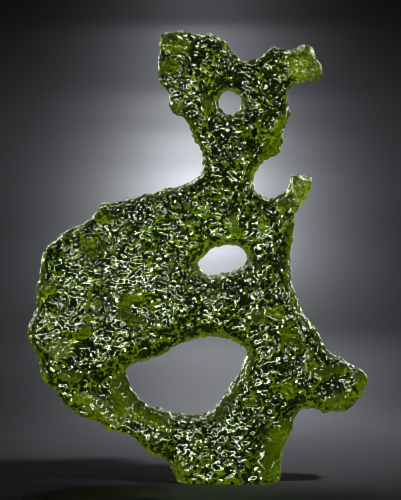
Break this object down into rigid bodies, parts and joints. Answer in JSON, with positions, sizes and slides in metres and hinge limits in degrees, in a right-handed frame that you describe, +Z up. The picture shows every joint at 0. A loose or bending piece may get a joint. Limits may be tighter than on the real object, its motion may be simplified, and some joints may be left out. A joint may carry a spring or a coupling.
{
  "type": "moldavite",
  "caption": "Openwork plate of etched natural green glass with three through holes, two ears, a hook and an arm, standing on a small flat foot.",
  "frame": {"origin": "on the plane that the foot stands on, under the middle of the piece's box", "axes": "+Z up along the plate's height, +Y through the plate's thickness with the pictured face towards -Y, +X across the plate towards the arm"},
  "size_m": [0.0444, 0.009, 0.0591],
  "materials": {
    "green_glass": "glossy"
  },
  "bodies": {
    "root": {"moldavite": "green_glass"}
  },
  "joints": []
}
